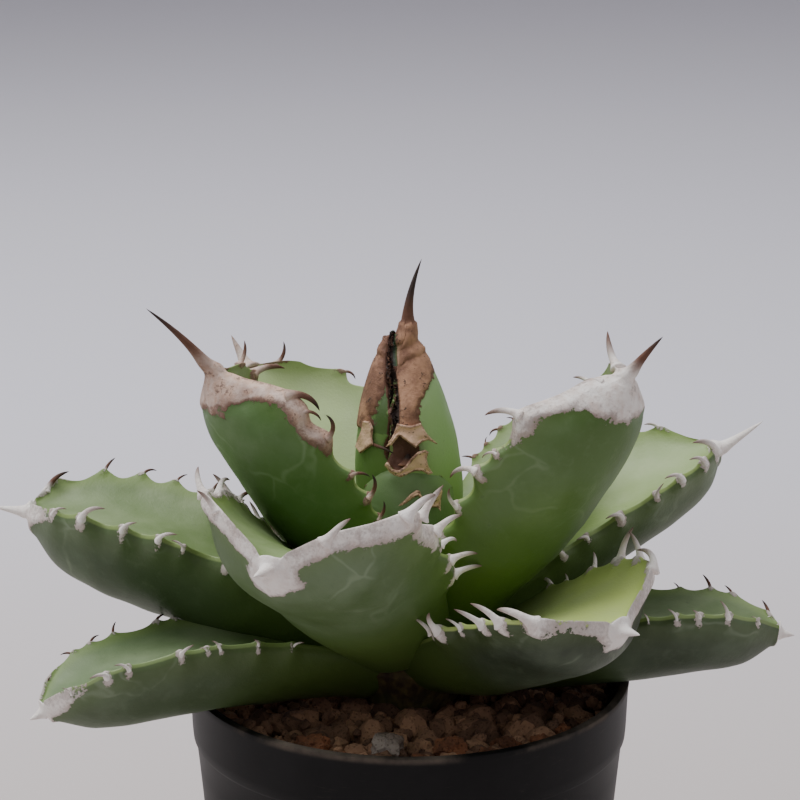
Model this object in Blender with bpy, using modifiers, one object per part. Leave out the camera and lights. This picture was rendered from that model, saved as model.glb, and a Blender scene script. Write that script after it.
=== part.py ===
"""A compact agave rosette in a round nursery pot of black plastic.

Sizes are in millimetres and are turned into metres only where a mesh is made. The pot stands on
z = 0 with its axis on Z. The rosette's leaves are numbered from the oldest, which lies on the
pot's rim, to the youngest, which stand closed in the middle.
"""

import math
import random
from dataclasses import dataclass

import bmesh
import bpy
from mathutils import Matrix, Vector
from mathutils.bvhtree import BVHTree

MM = 0.001

# Pot
POT_RIM_DIAMETER = 90.0
POT_BASE_DIAMETER = 76.0
POT_HEIGHT = 78.0
POT_WALL = 1.5
POT_FLOOR = 2.0
RIM_BAND_HEIGHT = 12.0
RIM_BAND_PROUD = 0.5
RIM_EDGE = 0.4
POT_FOOT_EDGE = 1.2
DRAIN_HOLES = 6
DRAIN_HOLE_DIAMETER = 6.0
DRAIN_RING_DIAMETER = 50.0
POT_SIDES = 48

# Growing mix
SOIL_BELOW_RIM = 7.5

# Crown: the short stem with the clasping leaf bases
CROWN_RADIUS = 15.0
CROWN_TOP_RADIUS = 6.0
CROWN_ABOVE_RIM = 22.0
CROWN_SHOULDER_ABOVE_RIM = 4.0
CROWN_FOOT_RADIUS = 9.0
CROWN_FOOT_ABOVE_SOIL = 0.5
ROOTSTOCK_RADIUS = 7.0
ROOTSTOCK_DEPTH = 34.0

# Leaves
LOWEST_BASE_ABOVE_RIM = 3.4
BASE_STEP = 1.9
MARGIN_THICKNESS = 1.3
SPINE_RADIUS = 1.35
TOOTH_FOOT = 0.1
LAST_TOOTH = 0.9

# Space left between touching pieces
CLEARANCE = 0.3

SOIL_TOP = POT_HEIGHT - SOIL_BELOW_RIM
CROWN_TOP = POT_HEIGHT + CROWN_ABOVE_RIM
CROWN_SHOULDER = POT_HEIGHT + CROWN_SHOULDER_ABOVE_RIM
CROWN_FOOT = SOIL_TOP + CROWN_FOOT_ABOVE_SOIL


@dataclass
class Leaf:
    """One leaf. Angles are in degrees; reach from the axis and height over the pot's rim place the
    end of its green blade, and rank counts the steps up the crown to its base."""

    name: str
    azimuth: float
    rank: int
    reach: float
    height: float
    leave: float
    arrive: float
    width: float
    thickness: float
    cup: tuple
    spine: float
    spine_turn: tuple = (0.0, 0.0)
    roll: tuple = (0.0, 0.0)
    sway: float = 0.0
    blunt: float = 0.5
    teeth: int = 6
    tooth: float = 3.6
    first_tooth: float = 0.36
    base_radius: float = 8.0


LEAVES = [
    Leaf("leaf_01", 110, 0, 60, 13, 20, 6, 28, 7.0, (0.5, 0.4), 8, teeth=5, first_tooth=0.5),
    Leaf("leaf_02", 354, 0, 74.5, 12.5, 18, -6, 30, 10.0, (0.45, 0.5), 3.5, blunt=0.9, tooth=2.8,
         roll=(-4, -12)),
    Leaf("leaf_03", 206, 0, 78, 6.5, 24, -20, 29, 10.0, (0.45, 0.5), 3.5, blunt=1.0, tooth=3.2,
         roll=(4, 14)),
    Leaf("leaf_04", 72, 1, 62, 18, 18, 10, 30, 8.0, (0.5, 0.4), 9),
    Leaf("leaf_05", 313, 2, 57, 26, 24, 4, 36, 11.0, (0.45, 0.6), 5, blunt=1.0, tooth=4.5),
    Leaf("leaf_06", 176, 3, 77, 33.5, 36, 8, 34, 14.5, (0.45, 0.6), 8, blunt=0.6, tooth=4.2),
    Leaf("leaf_07", 22, 3, 69, 40, 40, 22, 34, 9.0, (0.5, 0.7), 13, (4, 0), blunt=0.7, tooth=4.5),
    Leaf("leaf_08", 243, 4, 56, 41, 46, 2, 42, 11.5, (0.5, 0.8), 6, blunt=1.0, tooth=5.0),
    Leaf("leaf_09", 134, 4, 48, 55, 55, 50, 38, 9.0, (0.6, 0.7), 9, blunt=0.8, tooth=3.6),
    Leaf("leaf_10", 332, 6, 45, 68, 58, 62, 40, 9.5, (0.7, 0.9), 12, (-10, 0), blunt=0.9,
         tooth=4.2),
    Leaf("leaf_11", 203, 7, 39.5, 67, 66, 66, 37, 7.0, (0.8, 0.9), 20, (-18, 0), blunt=1.0,
         tooth=4.5),
    Leaf("leaf_12", 42, 7, 46, 48, 46, 44, 24, 6.5, (0.7, 0.8), 8, blunt=0.5, tooth=2.8,
         roll=(-10, -14), teeth=4, first_tooth=0.6),
    Leaf("bud_leaf_front", 275, 9, 9.5, 41, 84, 94, 15, 2.0, (0.6, 0.6), 2.5, teeth=2, tooth=1.2,
         first_tooth=0.6, base_radius=9.0),
    Leaf("bud_leaf_left", 170, 10, 2.6, 68, 88, 106, 22, 3.0, (1.2, 0.85), 3, teeth=4, tooth=1.3,
         base_radius=6.0),
    Leaf("bud_leaf_right", 2, 11, -1.2, 69, 84, 112, 29, 3.4, (1.5, 1.4), 17, (-30, 0), teeth=4,
         tooth=2.6, base_radius=5.5),
]


@dataclass
class Grain:
    """A loose lump on the soil; sizes and radius in millimetres, azimuth in degrees."""

    name: str
    azimuth: float
    radius: float
    size: float


GRAINS = [
    Grain("pumice_01", 262, 31, 8.5),
    Grain("clay_01", 236, 34, 7.5),
    Grain("clay_02", 249, 37, 5.5),
    Grain("clay_03", 274, 36, 6.0),
    Grain("clay_04", 284, 32, 7.0),
    Grain("clay_05", 294, 37, 6.5),
    Grain("clay_06", 304, 33, 5.5),
    Grain("clay_07", 313, 38, 6.5),
    Grain("clay_08", 325, 37, 5.0),
    Grain("clay_09", 225, 38, 4.5),
    Grain("clay_10", 30, 36, 5.5),
    Grain("clay_11", 52, 36, 4.5),
    Grain("clay_12", 92, 37, 5.0),
    Grain("clay_13", 140, 36, 6.0),
    Grain("clay_14", 158, 34, 5.0),
    Grain("clay_15", 178, 37, 5.5),
]

# Shares of a leaf's half width along its blade: first a long tapering leaf, then a blunt one.
SLENDER_OUTLINE = [(0.0, 0.66), (0.25, 0.82), (0.55, 1.0), (0.75, 0.88), (0.9, 0.52), (1.0, 0.09)]
BLUNT_OUTLINE = [(0.0, 0.62), (0.25, 0.78), (0.55, 0.97), (0.75, 1.0), (0.9, 0.8), (1.0, 0.14)]
THICKNESS_PROFILE = [(0.0, 0.7), (0.35, 1.0), (0.7, 0.95), (0.9, 0.7), (1.0, 0.2)]

UPPER_PLACES = (-1.0, -0.5, 0.0, 0.5, 1.0)
LOWER_PLACES = (1.0, 0.62, 0.0, -0.62, -1.0)


def along(points, t):
    """Smooth value at t of a curve through points, which rise in t."""
    for (t0, v0), (t1, v1) in zip(points, points[1:]):
        if t <= t1 or (t1, v1) == points[-1]:
            break
    i = points.index((t0, v0))
    before = points[max(i - 1, 0)]
    after = points[min(i + 2, len(points) - 1)]
    slope0 = (v1 - before[1]) / (t1 - before[0])
    slope1 = (after[1] - v0) / (after[0] - t0)
    h = t1 - t0
    s = min(max((t - t0) / h, 0.0), 1.0)
    return (
        (2 * s**3 - 3 * s**2 + 1) * v0
        + (s**3 - 2 * s**2 + s) * h * slope0
        + (-2 * s**3 + 3 * s**2) * v1
        + (s**3 - s**2) * h * slope1
    )


def mix(a, b, share):
    return a + (b - a) * share


def outward(azimuth):
    return Vector((math.cos(azimuth), math.sin(azimuth), 0.0))


def base_height(leaf):
    return POT_HEIGHT + LOWEST_BASE_ABOVE_RIM + leaf.rank * BASE_STEP


def midrib(leaf, t):
    """Point on the upper face's middle line, from the crown at t = 0 to the blade's end at t = 1."""
    start = Vector((leaf.base_radius, base_height(leaf)))
    end = Vector((leaf.reach, POT_HEIGHT + leaf.height))
    handle = 0.36 * (end - start).length
    leave, arrive = math.radians(leaf.leave), math.radians(leaf.arrive)
    first = start + handle * Vector((math.cos(leave), math.sin(leave)))
    second = end - handle * Vector((math.cos(arrive), math.sin(arrive)))
    s = 1.0 - t
    flat = s**3 * start + 3 * s**2 * t * first + 3 * s * t**2 * second + t**3 * end
    azimuth = math.radians(leaf.azimuth + leaf.sway * t * t)
    return outward(azimuth) * flat.x + Vector((0, 0, flat.y))


def directions(leaf, t):
    """(along, side, up) at t: up is the way the upper face looks, side runs anticlockwise."""
    step = 0.01
    ahead = (midrib(leaf, t + step) - midrib(leaf, t - step)).normalized()
    azimuth = math.radians(leaf.azimuth + leaf.sway * t * t)
    side = Vector((-math.sin(azimuth), math.cos(azimuth), 0.0))
    side = (side - ahead * side.dot(ahead)).normalized()
    side.rotate(Matrix.Rotation(math.radians(mix(*leaf.roll, t)), 3, ahead))
    return ahead, side, ahead.cross(side)


def half_width(leaf, t):
    share = mix(along(SLENDER_OUTLINE, t), along(BLUNT_OUTLINE, t), leaf.blunt)
    return max(leaf.width / 2 * share, SPINE_RADIUS)


def section(leaf, t, grow=0.0):
    """The ten points of the blade's cross-section at t: five above, then five below."""
    _, side, up = directions(leaf, t)
    middle = midrib(leaf, t)
    wide = half_width(leaf, t)
    wrap = mix(*leaf.cup, t)
    radius = wide / wrap
    wrap += grow / radius
    thick = leaf.thickness * along(THICKNESS_PROFILE, t)
    inner = radius - grow
    points = []
    for place in UPPER_PLACES:
        turn = place * wrap
        points.append(middle + side * inner * math.sin(turn) + up * (radius - inner * math.cos(turn)))
    for place in LOWER_PLACES:
        turn = place * wrap
        deep = radius + MARGIN_THICKNESS + grow + thick * (1 - abs(place) ** 2.2)
        points.append(middle + side * deep * math.sin(turn) + up * (radius - deep * math.cos(turn)))
    return points


def tooth_stations(leaf):
    """(start, end) along the blade of each tooth's foot, the same on both margins."""
    length = (midrib(leaf, 1.0) - midrib(leaf, 0.0)).length
    half = TOOTH_FOOT * leaf.width / length / 2
    pitch = (LAST_TOOTH - leaf.first_tooth) / (leaf.teeth - 1)
    middles = [leaf.first_tooth + i * pitch for i in range(leaf.teeth)]
    return [(middle - half, middle + half) for middle in middles]


def add_ring(bm, points):
    return [bm.verts.new(point * MM) for point in points]


def bridge(bm, ring, following):
    """Faces between two rings of equal count, returned in the order of their first points."""
    count = len(ring)
    return [
        bm.faces.new((ring[i], ring[(i + 1) % count], following[(i + 1) % count], following[i]))
        for i in range(count)
    ]


def spine_rings(leaf, grow):
    """The hard end spine: rings that shrink along a gently turning line, and its point."""
    _, side, up = directions(leaf, 1.0)
    start = midrib(leaf, 1.0) - up * SPINE_RADIUS
    rings = []
    for share in (0.14, 0.45, 0.75):
        middle = start + spine_aim(leaf, share) * leaf.spine * share
        radius = SPINE_RADIUS * (1.0 - share) ** 0.7 + grow
        arc = [math.pi * (0.5 * i / 4 - 0.25) for i in range(5)]
        above = [side * 1.2 * math.sin(turn) + up * 0.9 * math.cos(turn) for turn in arc]
        below = [side * 1.2 * math.sin(turn) - up * 0.9 * math.cos(turn) for turn in reversed(arc)]
        rings.append([middle + offset * radius for offset in above + below])
    return rings, start + spine_aim(leaf, 1.0) * (leaf.spine + 2 * grow)


def spine_aim(leaf, share):
    """Direction from the blade's end to the middle of the spine at that share of its length."""
    ahead, side, up = directions(leaf, 1.0)
    lift, swing = (math.radians(angle) for angle in leaf.spine_turn)
    ahead.rotate(Matrix.Rotation(-lift * share, 3, side))
    ahead.rotate(Matrix.Rotation(swing * share, 3, up))
    return ahead


def grow_tooth(bm, face, tooth, away, hook):
    """Draws one margin face out into a curved tooth in three steps."""
    steps = ((0.25, 0.62, 0.0), (0.35, 0.55, 0.5), (0.4, 0.22, 1.0))
    for reach, keep, bend in steps:
        grown = bmesh.ops.extrude_discrete_faces(bm, faces=[face])["faces"][0]
        centre = grown.calc_center_median()
        heading = (away.lerp(hook, bend)).normalized()
        for vert in grown.verts:
            vert.co = centre + (vert.co - centre) * keep + heading * tooth * reach * MM
        face = grown
    return face


def leaf_mesh(leaf, grow=0.0):
    """Closed blade with its toothed margins and end spine, as one skin grown by grow all over."""
    rng = random.Random(leaf.name)
    bm = bmesh.new()
    feet = tooth_stations(leaf)
    places = [0.0, 0.12, 0.24] + [t for foot in feet for t in foot] + [1.0]
    rings = [add_ring(bm, section(leaf, t, grow)) for t in places]
    bm.faces.new(reversed(rings[0]))
    toothed = []
    for i, (ring, following) in enumerate(zip(rings, rings[1:])):
        faces = bridge(bm, following, ring)
        if (places[i], places[i + 1]) in feet:
            t = (places[i] + places[i + 1]) / 2
            toothed += [(faces[4], 1, t), (faces[9], -1, t)]
    spines, point = spine_rings(leaf, grow)
    last = rings[-1]
    for points in spines:
        ring = add_ring(bm, points)
        bridge(bm, ring, last)
        last = ring
    end = bm.verts.new(point * MM)
    for i, vert in enumerate(last):
        bm.faces.new((last[(i + 1) % len(last)], vert, end))
    bmesh.ops.recalc_face_normals(bm, faces=bm.faces)
    for face, hand, t in toothed:
        ahead, side, up = directions(leaf, t)
        wrap = mix(*leaf.cup, t)
        away = side * hand * math.cos(wrap) + up * math.sin(wrap)
        hook = away * 0.3 + up * rng.uniform(0.2, 0.9) + ahead * rng.uniform(-0.5, 0.7)
        size = leaf.tooth * rng.uniform(0.7, 1.15) * (0.55 + 0.6 * t)
        grow_tooth(bm, face, size + grow, away, hook.normalized())
    mesh = bpy.data.meshes.new(leaf.name)
    bm.to_mesh(mesh)
    bm.free()
    return mesh


def new_object(name, mesh, collection):
    obj = bpy.data.objects.new(name, mesh)
    collection.objects.link(obj)
    return obj


def hide_cutter(obj):
    obj.hide_render = True
    obj.display_type = "WIRE"
    return obj


def turned(name, profile, collection, sides=POT_SIDES):
    """A turned body: a profile in the XZ plane that a Screw modifier takes once round Z."""
    mesh = bpy.data.meshes.new(name)
    points = [(x * MM, 0.0, z * MM) for x, z in profile]
    mesh.from_pydata(points, [(i, i + 1) for i in range(len(points) - 1)], [])
    obj = new_object(name, mesh, collection)
    screw = obj.modifiers.new("Turn", "SCREW")
    screw.steps = screw.render_steps = sides
    screw.use_merge_vertices = True
    screw.merge_threshold = 0.00005
    screw.use_smooth_shade = True
    return obj


def cut(obj, cutter, crossing_itself=False):
    boolean = obj.modifiers.new("Cut " + cutter.name, "BOOLEAN")
    boolean.operation = "DIFFERENCE"
    boolean.solver = "EXACT"
    boolean.object = cutter
    boolean.use_self = crossing_itself
    return boolean


def material(name, colour, roughness):
    mat = bpy.data.materials.new(name)
    mat.use_nodes = True
    shader = mat.node_tree.nodes["Principled BSDF"]
    shader.inputs["Base Color"].default_value = (*colour, 1.0)
    shader.inputs["Roughness"].default_value = roughness
    shader.inputs["Metallic"].default_value = 0.0
    mat.diffuse_color = (*colour, 1.0)
    return mat


def paint(obj, mat):
    obj.data.materials.clear()
    obj.data.materials.append(mat)
    return obj


def pot_inner_radius(z):
    """Inside radius of the pot's straight cone at height z."""
    low = POT_BASE_DIAMETER / 2 - POT_WALL
    high = POT_RIM_DIAMETER / 2 - RIM_BAND_PROUD - POT_WALL
    return mix(low, high, z / POT_HEIGHT)


def pot_profile():
    """From the middle of the floor up the inside, over the rim and down the outside."""
    rim = POT_RIM_DIAMETER / 2
    band = POT_HEIGHT - RIM_BAND_HEIGHT
    step = RIM_BAND_PROUD
    inside = pot_inner_radius(POT_HEIGHT)
    return [
        (0.0, POT_FLOOR),
        (pot_inner_radius(POT_FLOOR), POT_FLOOR),
        (inside, POT_HEIGHT - RIM_EDGE),
        (inside + RIM_EDGE, POT_HEIGHT),
        (rim - RIM_EDGE, POT_HEIGHT),
        (rim, POT_HEIGHT - RIM_EDGE),
        (pot_inner_radius(band) + POT_WALL + step, band),
        (pot_inner_radius(band - step) + POT_WALL, band - step),
        (pot_inner_radius(POT_FOOT_EDGE) + POT_WALL, POT_FOOT_EDGE),
        (POT_BASE_DIAMETER / 2 - POT_FOOT_EDGE, 0.0),
        (0.0, 0.0),
    ]


def build_pot(parts, cutters):
    pot = turned("pot", pot_profile(), parts)
    for i in range(DRAIN_HOLES):
        azimuth = 2 * math.pi * (i / DRAIN_HOLES + 0.5 / POT_SIDES)
        bm = bmesh.new()
        bmesh.ops.create_cone(
            bm,
            cap_ends=True,
            segments=12,
            radius1=DRAIN_HOLE_DIAMETER / 2 * MM,
            radius2=DRAIN_HOLE_DIAMETER / 2 * MM,
            depth=4 * POT_FLOOR * MM,
        )
        mesh = bpy.data.meshes.new(f"drain_{i}")
        bm.to_mesh(mesh)
        bm.free()
        drill = hide_cutter(new_object(f"drain_{i}", mesh, cutters))
        drill.location = outward(azimuth) * DRAIN_RING_DIAMETER / 2 * MM
        cut(pot, drill)
    return paint(pot, material("pot_black_plastic", (0.012, 0.012, 0.013), 0.45))


def crown_profile(grow=0.0):
    """The stem: a stubby cone hidden by the leaf bases, on a rootstock that stands in the soil."""
    return [
        (0.0, CROWN_TOP + grow),
        (CROWN_TOP_RADIUS + grow, CROWN_TOP + grow),
        (CROWN_RADIUS + grow, CROWN_SHOULDER + grow),
        (CROWN_FOOT_RADIUS + grow, CROWN_FOOT - grow),
        (ROOTSTOCK_RADIUS + grow, SOIL_TOP - grow),
        (ROOTSTOCK_RADIUS * 0.6 + grow, SOIL_TOP - ROOTSTOCK_DEPTH - grow),
        (0.0, SOIL_TOP - ROOTSTOCK_DEPTH - grow),
    ]


def build_crown(parts, cutters):
    crown = turned("crown", crown_profile(), parts, sides=32)
    room = hide_cutter(turned("crown_room", crown_profile(CLEARANCE), cutters, sides=32))
    return paint(crown, material("crown_fibre", (0.16, 0.13, 0.06), 0.8)), room


def build_soil(parts, crown_room):
    floor = POT_FLOOR + CLEARANCE
    profile = [
        (0.0, SOIL_TOP),
        (pot_inner_radius(SOIL_TOP) - CLEARANCE, SOIL_TOP),
        (pot_inner_radius(floor) - CLEARANCE, floor),
        (0.0, floor),
    ]
    soil = turned("soil", profile, parts)
    cut(soil, crown_room)
    return paint(soil, material("soil_dark_grit", (0.035, 0.018, 0.01), 0.95))


def build_leaves(parts, cutters, crown_room):
    """Every leaf gives way to the younger leaves that lie on it, and to the crown."""
    green = material("leaf_green", (0.055, 0.1, 0.035), 0.5)
    leaves = [paint(new_object(leaf.name, leaf_mesh(leaf), parts), green) for leaf in LEAVES]
    rooms = [
        hide_cutter(new_object(leaf.name + "_room", leaf_mesh(leaf, CLEARANCE), cutters))
        for leaf in LEAVES
    ]
    for i, older in enumerate(leaves):
        older.data.shade_smooth()
        older.data.set_sharp_from_angle(angle=math.radians(50))
        cut(older, crown_room, crossing_itself=True)
        body = BVHTree.FromPolygons(*points_and_faces(older))
        for room in rooms[i + 1:]:
            if body.overlap(BVHTree.FromPolygons(*points_and_faces(room))):
                cut(older, room, crossing_itself=True)
    return leaves


def points_and_faces(obj):
    return (
        [vert.co.copy() for vert in obj.data.vertices],
        [tuple(face.vertices) for face in obj.data.polygons],
    )


def build_grain(grain, parts, mat):
    """One lump of the growing mix: a dented icosphere that lies just clear of the soil's top."""
    rng = random.Random(grain.name)
    bm = bmesh.new()
    bmesh.ops.create_icosphere(bm, subdivisions=2, radius=grain.size / 2 * MM)
    squash = Vector((1.0, rng.uniform(0.75, 0.95), rng.uniform(0.65, 0.85)))
    for vert in bm.verts:
        vert.co = vert.co * squash * rng.uniform(0.88, 1.0)
    lowest = min(vert.co.z for vert in bm.verts)
    mesh = bpy.data.meshes.new(grain.name)
    bm.to_mesh(mesh)
    bm.free()
    lump = new_object(grain.name, mesh, parts)
    place = outward(math.radians(grain.azimuth)) * grain.radius
    lump.location = Vector((place.x, place.y, SOIL_TOP + CLEARANCE)) * MM - Vector((0, 0, lowest))
    lump.rotation_euler.z = math.radians(grain.azimuth * 3)
    return paint(lump, mat)


def clear_scene():
    for obj in list(bpy.data.objects):
        bpy.data.objects.remove(obj)


def new_collection(name):
    collection = bpy.data.collections.new(name)
    bpy.context.scene.collection.children.link(collection)
    return collection


def main():
    clear_scene()
    parts = new_collection("potted_agave")
    cutters = new_collection("cutters")
    build_pot(parts, cutters)
    crown, crown_room = build_crown(parts, cutters)
    build_soil(parts, crown_room)
    build_leaves(parts, cutters, crown_room)
    clay = material("clay_grain", (0.12, 0.05, 0.025), 0.95)
    pumice = material("pumice_grain", (0.32, 0.28, 0.25), 0.95)
    for grain in GRAINS:
        build_grain(grain, parts, pumice if grain.name.startswith("pumice") else clay)


main()
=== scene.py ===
# %% [markdown]
# # A potted agave, finished
#
# The packed model comes in first and is never moved. It says where every leaf, the pot and the
# growing mix are. Everything modelled below lies in the same frame, in metres, with the pot's axis
# on Z and the shelf at Z = 0.

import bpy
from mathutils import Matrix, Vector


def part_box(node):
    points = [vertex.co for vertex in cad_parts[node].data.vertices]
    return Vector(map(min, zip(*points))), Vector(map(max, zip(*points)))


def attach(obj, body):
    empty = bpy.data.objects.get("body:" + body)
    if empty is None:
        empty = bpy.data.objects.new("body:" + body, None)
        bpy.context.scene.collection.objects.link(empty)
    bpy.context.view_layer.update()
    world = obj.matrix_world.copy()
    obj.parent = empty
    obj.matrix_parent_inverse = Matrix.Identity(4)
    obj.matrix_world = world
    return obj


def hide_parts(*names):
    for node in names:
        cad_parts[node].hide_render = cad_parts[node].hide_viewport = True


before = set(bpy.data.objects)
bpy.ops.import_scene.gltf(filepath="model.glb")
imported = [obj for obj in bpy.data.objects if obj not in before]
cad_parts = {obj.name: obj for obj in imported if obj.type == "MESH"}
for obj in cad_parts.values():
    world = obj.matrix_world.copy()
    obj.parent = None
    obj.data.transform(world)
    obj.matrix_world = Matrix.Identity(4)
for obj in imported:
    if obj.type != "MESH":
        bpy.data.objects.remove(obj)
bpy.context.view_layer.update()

# %% [markdown]
# ## Tools of the lesson
#
# Sizes are written in millimetres and turned to metres with `MM`. Operators act on all that is
# selected, so a few helpers see to it that just one object is selected, add a modifier and apply
# it, close and turn a shell, and join pieces.

# %% Imports and one unit
import math
import random
from contextlib import contextmanager
from dataclasses import dataclass

import bmesh
import bpy
import numpy as np
from mathutils import Vector, noise
from mathutils.bvhtree import BVHTree

MM = 0.001


def mix(a, b, share):
    """The value that lies at that share of the way from a to b."""
    return a + (b - a) * share


def clamp(value):
    return min(max(value, 0.0), 1.0)


# %% Select and edit
def deselect():
    """Back to object mode, with nothing selected."""
    if bpy.context.object and bpy.context.object.mode != "OBJECT":
        bpy.ops.object.mode_set(mode="OBJECT")
    bpy.ops.object.select_all(action="DESELECT")


def take(obj):
    """Selects only this object and makes it the active one."""
    deselect()
    obj.select_set(True)
    bpy.context.view_layer.objects.active = obj


@contextmanager
def editing(obj):
    """Edit mode with the whole mesh selected, and object mode again at the end."""
    take(obj)
    bpy.ops.object.mode_set(mode="EDIT")
    bpy.ops.mesh.select_all(action="SELECT")
    yield
    bpy.ops.object.mode_set(mode="OBJECT")


def face_outwards():
    """Turns every face of the mesh in edit mode outwards."""
    bpy.ops.mesh.select_all(action="SELECT")
    bpy.ops.mesh.normals_make_consistent(inside=False)


print("one object is taken at a time")


# %% Modify, close, settle and join
def apply_modifier(obj, kind, **settings):
    """Adds a modifier with these settings and applies it."""
    take(obj)
    modifier = obj.modifiers.new(kind.title(), kind)
    for key, value in settings.items():
        setattr(modifier, key, value)
    bpy.ops.object.modifier_apply(modifier=modifier.name)


def tidy_shell(obj):
    """Merges doubled points and turns every face outwards."""
    with editing(obj):
        bpy.ops.mesh.remove_doubles(threshold=1e-6)
        face_outwards()


def settle(obj):
    """Puts the object's place into its mesh, so that the object itself sits at the origin."""
    take(obj)
    bpy.ops.object.transform_apply(location=True, rotation=True, scale=True)


def join_all(objects, name):
    """One object out of many, which keeps the first one's attributes and takes the name."""
    take(objects[0])
    for obj in objects[1:]:
        obj.select_set(True)
    bpy.ops.object.join()
    objects[0].name = name
    objects[0].data.name = name
    return objects[0]


def hand_over(piece, material, node):
    """Gives a piece its finish and says which node it stands for."""
    piece.data.materials.clear()
    piece.data.materials.append(material)
    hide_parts(node)
    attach(piece, "root")


print("helpers ready, Blender", bpy.app.version_string)


# %% [markdown]
# ## Camera
#
# The plant is seen from the front, a little above, through a long lens, so near and far leaves
# keep nearly the same scale.

# %% Camera
CAMERA_PLACE = (-0.0019, -0.467, 0.265)
CAMERA_PITCH = math.radians(15.5)

camera_data = bpy.data.cameras.new("camera")
camera_data.sensor_width = 36.0
camera_data.lens = 109.6
camera_data.clip_start = 0.01
camera = bpy.data.objects.new("camera", camera_data)
camera.location = CAMERA_PLACE
camera.rotation_euler = (math.radians(90) - CAMERA_PITCH, 0, 0)
bpy.context.scene.collection.objects.link(camera)
bpy.context.scene.camera = camera
print("camera looks down", round(math.degrees(CAMERA_PITCH), 1), "degrees")


# %% [markdown]
# ## Shader maths as Python
#
# A material is easier to read as sums than as a web of nodes. `Signal` wraps one output socket,
# and its operators add Math nodes. Every other node comes from `Finish.node`.

# %% Signals
class Signal:
    """One output socket, which Python's operators combine into Math nodes."""

    def __init__(self, finish, socket):
        self.finish = finish
        self.socket = socket

    def maths(self, operation, *values):
        return self.finish.node("ShaderNodeMath", {"operation": operation}, dict(enumerate(values)))

    def __add__(self, other):
        return self.maths("ADD", self, other)

    def __sub__(self, other):
        return self.maths("SUBTRACT", self, other)

    def __rsub__(self, other):
        return self.maths("SUBTRACT", other, self)

    def __mul__(self, other):
        return self.maths("MULTIPLY", self, other)

    __radd__ = __add__
    __rmul__ = __mul__

    def rise(self, low, high):
        """0 below low, 1 above high, with a soft rise between."""
        settings = {"interpolation_type": "SMOOTHSTEP"}
        inputs = {"Value": self, "From Min": low, "From Max": high}
        return self.finish.node("ShaderNodeMapRange", settings, inputs)


OPERATORS = ("__add__", "__sub__", "__mul__")
print("a signal can", [name.strip("_") for name in OPERATORS if name in vars(Signal)])


# %% A finish
class Finish:
    """A material that is written as expressions on signals."""

    def __init__(self, name):
        self.material = bpy.data.materials.new(name)
        self.material.use_nodes = True
        self.tree = self.material.node_tree
        self.shader = self.tree.nodes["Principled BSDF"]

    def node(self, kind, settings=None, inputs=None, output=0):
        made = self.tree.nodes.new(kind)
        for key, value in (settings or {}).items():
            setattr(made, key, value)
        for key, value in (inputs or {}).items():
            self.feed(made.inputs[key], value)
        return Signal(self, made.outputs[output])

    def feed(self, socket, value):
        if isinstance(value, Signal):
            self.tree.links.new(value.socket, socket)
        elif socket.type == "RGBA":
            socket.default_value = (*value, 1.0)
        else:
            socket.default_value = value

    def place(self):
        return self.node("ShaderNodeTexCoord", output="Object")

    def stretched(self, scale):
        inputs = {0: self.place(), 1: scale}
        return self.node("ShaderNodeVectorMath", {"operation": "MULTIPLY"}, inputs)

    def attribute(self, name):
        return self.node("ShaderNodeAttribute", {"attribute_name": name}, output="Fac")

    def noise(self, scale, detail=3.0, roughness=0.55, vector=None):
        inputs = {"Scale": scale, "Detail": detail, "Roughness": roughness}
        inputs["Vector"] = vector or self.place()
        return self.node("ShaderNodeTexNoise", {}, inputs)

    def warped(self, reach):
        """The place, pushed about by noise, so that lines drawn on it wander."""
        push = self.node("ShaderNodeTexNoise", {}, {"Scale": 90.0, "Vector": self.place()}, "Color")
        inputs = {0: push, 1: (reach,) * 3, 2: self.place()}
        return self.node("ShaderNodeVectorMath", {"operation": "MULTIPLY_ADD"}, inputs)

    def cells(self, scale, feature="F1", vector=None):
        inputs = {"Scale": scale, "Vector": vector or self.place()}
        return self.node("ShaderNodeTexVoronoi", {"feature": feature}, inputs, "Distance")

    def blend(self, first, second, share):
        inputs = {0: share, 6: first, 7: second}
        return self.node("ShaderNodeMix", {"data_type": "RGBA"}, inputs, 2)

    def layered(self, colour, *layers):
        """The colour under others, each with the share in which it covers those below."""
        for cover, share in layers:
            colour = self.blend(colour, cover, share)
        return colour

    def surface(self, colour, roughness, height=None, strength=0.3, depth=0.0005, **fixed):
        self.feed(self.shader.inputs["Base Color"], colour)
        self.feed(self.shader.inputs["Roughness"], roughness)
        if height is not None:
            inputs = {"Height": height, "Strength": strength, "Distance": depth}
            self.feed(self.shader.inputs["Normal"], self.node("ShaderNodeBump", {}, inputs))
        for key, value in fixed.items():
            self.feed(self.shader.inputs[key.replace("_", " ")], value)
        return self.material


def srgb(red, green, blue):
    """A colour as it is seen on a screen, 0 to 255, turned into the light that a shader counts."""
    shares = [value / 255 for value in (red, green, blue)]
    return tuple(s / 12.92 if s <= 0.04045 else ((s + 0.055) / 1.055) ** 2.4 for s in shares)


def toned(colour, towards, share):
    """A screen colour moved part of the way towards another, as shader light."""
    return srgb(*(mix(a, b, share) for a, b in zip(colour, towards)))


print("a middle grey on the screen is", round(srgb(128, 128, 128)[0], 3), "of the light")


# %% [markdown]
# ## One leaf's growth
#
# An agave leaf is a thick trough. Its middle line leaves the crown at one angle and reaches the
# tip at another, so two places and two angles draw it. Across, it is part of a ring: hollow above
# and swollen below. The table holds one leaf a line, oldest first, in millimetres and degrees.
# `cap` is how far the tip's horn creeps back over the underside, `bands` how far towards the base
# the horny border runs on the clockwise and the anticlockwise margin, and how wide it is.

# %% Leaf table
RIM_HEIGHT = 78.0
LOWEST_BASE = RIM_HEIGHT + 3.4
BASE_STEP = 1.9
MARGIN_THICKNESS = 1.3
SPINE_RADIUS = 1.35


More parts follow.
